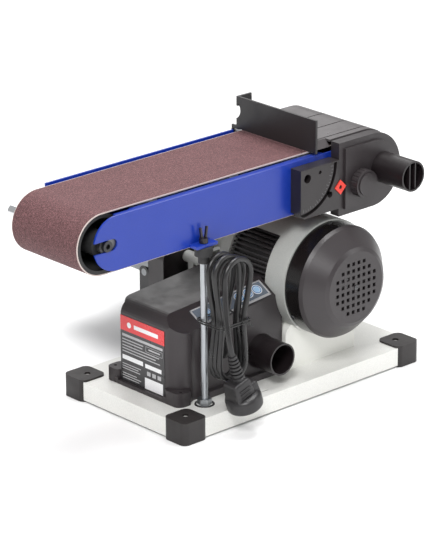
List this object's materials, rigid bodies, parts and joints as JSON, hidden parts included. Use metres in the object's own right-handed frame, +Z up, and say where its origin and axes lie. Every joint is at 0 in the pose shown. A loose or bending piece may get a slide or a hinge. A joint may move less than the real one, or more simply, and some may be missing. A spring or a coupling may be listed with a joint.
{
  "type": "bench belt and disc sander",
  "caption": "Bench-top sander with a tilting abrasive belt arm over a motor, a disc with a tilting work table, dust ports and a tied mains cord.",
  "frame": {"origin": "middle of the base's four bench bolt holes, on the floor", "axes": "+X along the belt towards its drive drum, +Y to the operator's side with the disc and table, +Z up"},
  "size_m": [0.438, 0.372, 0.2915],
  "materials": {
    "base_paint": "off-white textured powder coat",
    "grey_paint": "light grey cast and painted",
    "blue_paint": "satin blue powder coat",
    "black_plastic": "moulded, fine spark texture",
    "black_gloss": "moulded, satin",
    "black_metal": "black semi-matt paint",
    "rubber": "moulded rubber",
    "cord_rubber": "black cable sheath",
    "zinc": "bright zinc plate",
    "steel": "ground steel",
    "chrome": "bright chrome",
    "alloy": "machined casting",
    "grit_belt": "brown aluminium oxide grit on cloth",
    "grit_disc": "brown aluminium oxide grit",
    "label": "printed film",
    "red_plastic": "moulded",
    "green_plastic": "moulded",
    "wire": "plastic-coated tie wire"
  },
  "bodies": {
    "frame": {"base_tray": "base_paint", "foot_caps": "rubber", "motor_frame": "grey_paint", "stator": "black_metal", "end_shield": "alloy", "fan_cowl": "black_plastic", "case_screws": "zinc", "motor_bearings": "steel", "drive_casting": "grey_paint", "disc_shroud": "black_plastic", "housing": "black_plastic", "lower_dust_port": "black_gloss", "dust_duct": "black_gloss", "rating_label": "label", "bevel_label": "label", "switch_plate": "black_plastic", "support_post": "zinc", "post_nuts": "zinc", "rest_bumper": "rubber", "table_brackets": "black_metal", "cord_gland": "black_gloss", "mains_cord": "cord_rubber", "cord_hank": "cord_rubber", "plug": "cord_rubber", "hank_tie": "wire", "drive_belt": "rubber"},
    "rotor": {"motor_shaft": "steel", "rotor_core": "steel", "cooling_fan": "black_gloss", "motor_pulley": "alloy", "disc_plate": "alloy", "disc_abrasive": "grit_disc"},
    "arm": {"side_plate_near": "blue_paint", "side_plate_far": "blue_paint", "platen": "steel", "near_bracket": "black_plastic", "far_bracket": "black_plastic", "angle_pointer": "red_plastic", "drum_guard": "black_plastic", "guard_side_cover": "black_plastic", "belt_dust_port": "black_gloss", "drum_bearings": "steel", "sanding_belt": "grit_belt", "work_stop": "black_metal", "arm_screws": "zinc"},
    "wing_screw": {"wing_screw": "black_gloss"},
    "guard_knob": {"guard_knob": "black_plastic"},
    "drum": {"drive_drum": "steel", "drum_pulley": "alloy"},
    "idler_frame": {"idler_yoke": "steel", "idler_axle": "zinc"},
    "idler": {"idler_drum": "alloy"},
    "tracking_knob": {"tracking_knob": "chrome"},
    "tension_lever": {"tension_lever": "black_plastic"},
    "table": {"table_top": "alloy"},
    "table_knob": {"table_knob": "black_plastic"},
    "mitre": {"mitre_bar": "steel"},
    "mitre_head": {"mitre_head": "black_plastic"},
    "start_button": {"start_button": "green_plastic"},
    "stop_button": {"stop_button": "red_plastic"}
  },
  "joints": [
    {"name": "arm_tilt", "type": "hinge", "parent": "frame", "child": "arm", "pos_m": [0.1204, 0, 0.2216], "axis": [0, 1, 0], "range_deg": [0, 90]},
    {"name": "rotor_spin", "type": "hinge", "parent": "frame", "child": "rotor", "pos_m": [0.06, 0, 0.116], "axis": [0, 1, 0], "continuous": true},
    {"name": "drum_spin", "type": "hinge", "parent": "arm", "child": "drum", "pos_m": [0.1204, 0, 0.2216], "axis": [0, 1, 0], "continuous": true},
    {"name": "idler_slide", "type": "slide", "parent": "arm", "child": "idler_frame", "axis": [1, 0, 0], "range_m": [0, 0.006]},
    {"name": "idler_spin", "type": "hinge", "parent": "idler_frame", "child": "idler", "pos_m": [-0.2355, 0, 0.2216], "axis": [0, 1, 0], "continuous": true},
    {"name": "tracking_turn", "type": "hinge", "parent": "idler_frame", "child": "tracking_knob", "pos_m": [-0.2355, 0.08, 0.2216], "axis": [0, 1, 0], "continuous": true},
    {"name": "tension_lever_turn", "type": "hinge", "parent": "arm", "child": "tension_lever", "pos_m": [-0.15, 0.062, 0.2216], "axis": [0, 1, 0], "range_deg": [0, 90]},
    {"name": "wing_screw_turn", "type": "hinge", "parent": "arm", "child": "wing_screw", "pos_m": [-0.114, -0.064, 0.197], "axis": [0, 0, 1], "continuous": true},
    {"name": "guard_knob_turn", "type": "hinge", "parent": "arm", "child": "guard_knob", "pos_m": [0.0985, -0.078, 0.214], "axis": [0, -1, 0], "continuous": true},
    {"name": "table_tilt", "type": "hinge", "parent": "frame", "child": "table", "pos_m": [0.06, 0.114, 0.098], "axis": [-1, 0, 0], "range_deg": [0, 45]},
    {"name": "table_knob_turn", "type": "hinge", "parent": "frame", "child": "table_knob", "pos_m": [0.165, 0.114, 0.098], "axis": [1, 0, 0], "continuous": true},
    {"name": "mitre_slide", "type": "slide", "parent": "table", "child": "mitre", "axis": [1, 0, 0], "range_m": [-0.06, 0.01]},
    {"name": "mitre_swivel", "type": "hinge", "parent": "mitre", "child": "mitre_head", "pos_m": [0.084, 0.186, 0.112], "axis": [0, 0, 1], "range_deg": [-45, 45]},
    {"name": "start_press", "type": "slide", "parent": "frame", "child": "start_button", "axis": [0, -1, 0], "range_m": [0, 0.003], "stiffness_N_per_m": 300},
    {"name": "stop_press", "type": "slide", "parent": "frame", "child": "stop_button", "axis": [0, -1, 0], "range_m": [0, 0.003], "stiffness_N_per_m": 300}
  ],
  "couplings": [
    {"joint": "drum_spin", "follows": "rotor_spin", "ratio": 1.1504},
    {"joint": "idler_spin", "follows": "rotor_spin", "ratio": 1.1504},
    {"joint": "tension_lever_turn", "follows": "idler_slide", "rad_per_m": 261.8}
  ]
}
